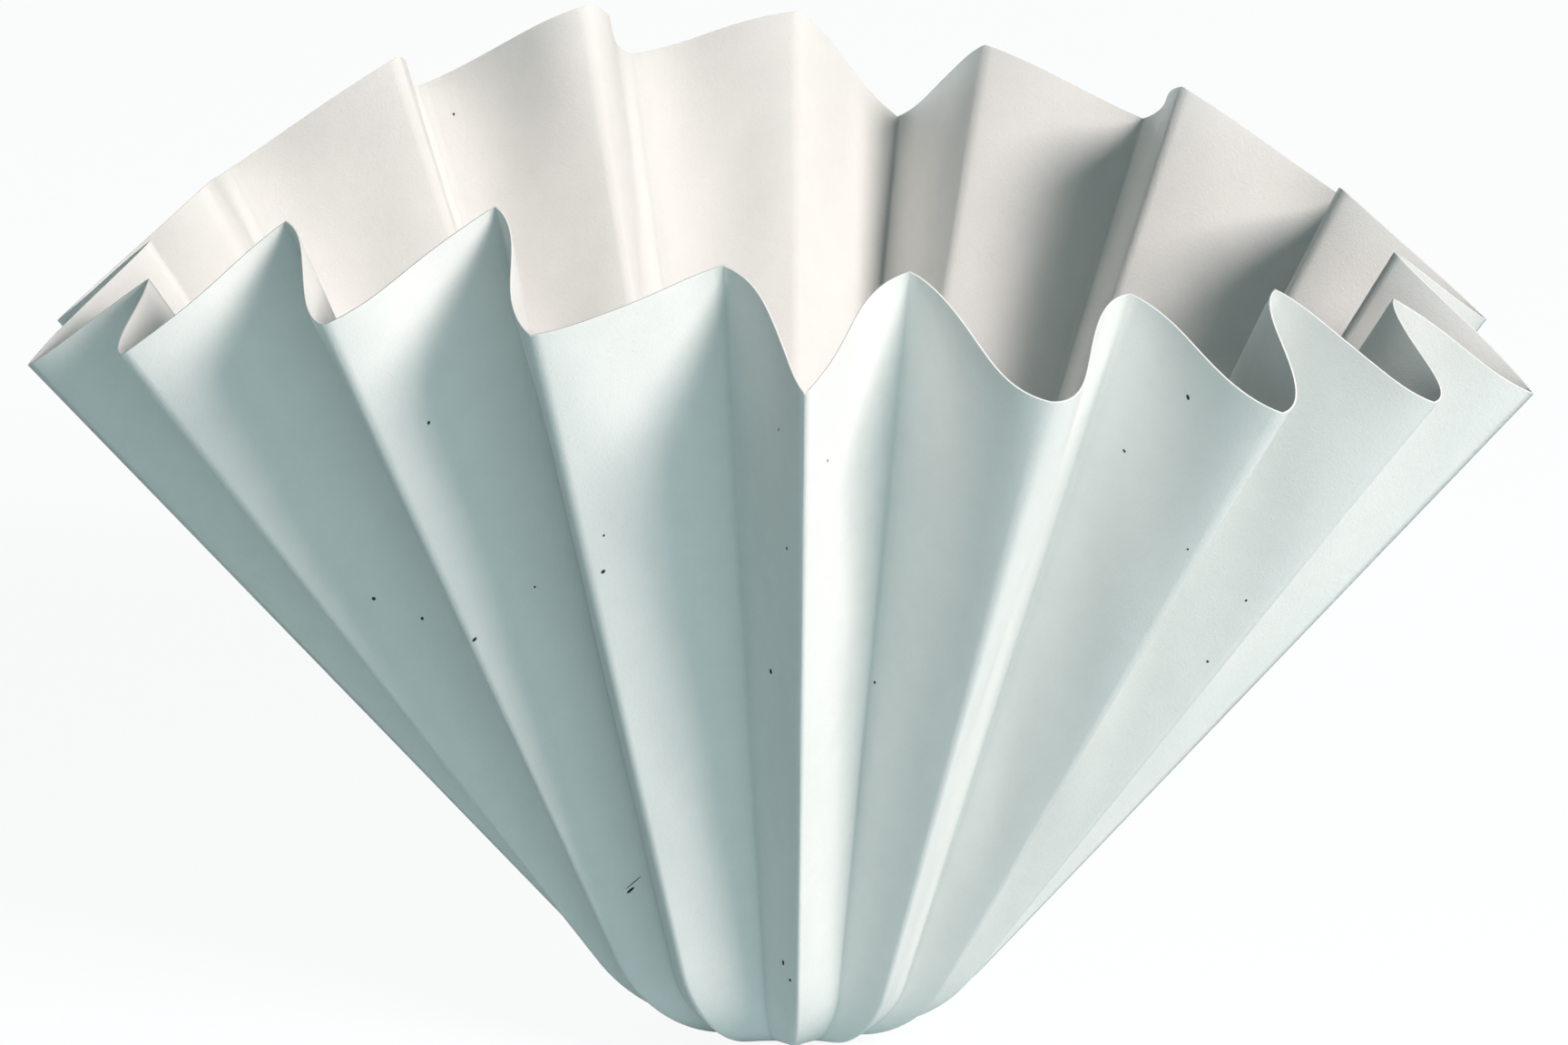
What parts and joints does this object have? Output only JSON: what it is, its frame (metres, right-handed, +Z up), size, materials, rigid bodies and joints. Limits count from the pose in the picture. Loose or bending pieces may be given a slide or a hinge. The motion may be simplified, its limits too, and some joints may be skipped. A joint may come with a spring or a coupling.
{
  "type": "fluted filter paper",
  "caption": "Pleated disc of white filter paper, opened into an upright fluted cone with a rounded bottom and a small flat spot, for lining a laboratory funnel.",
  "frame": {"origin": "On the underside of the flat spot at the centre of the disc, which the paper stands on", "axes": "+Z up, out of the open mouth; +X along the wide way of the oval mouth; -Y is the front"},
  "size_m": [0.1638, 0.1386, 0.1065],
  "materials": {
    "filter_paper": "uncoated white cellulose paper, matte"
  },
  "bodies": {
    "root": {"filter_paper": "filter_paper"}
  },
  "joints": []
}
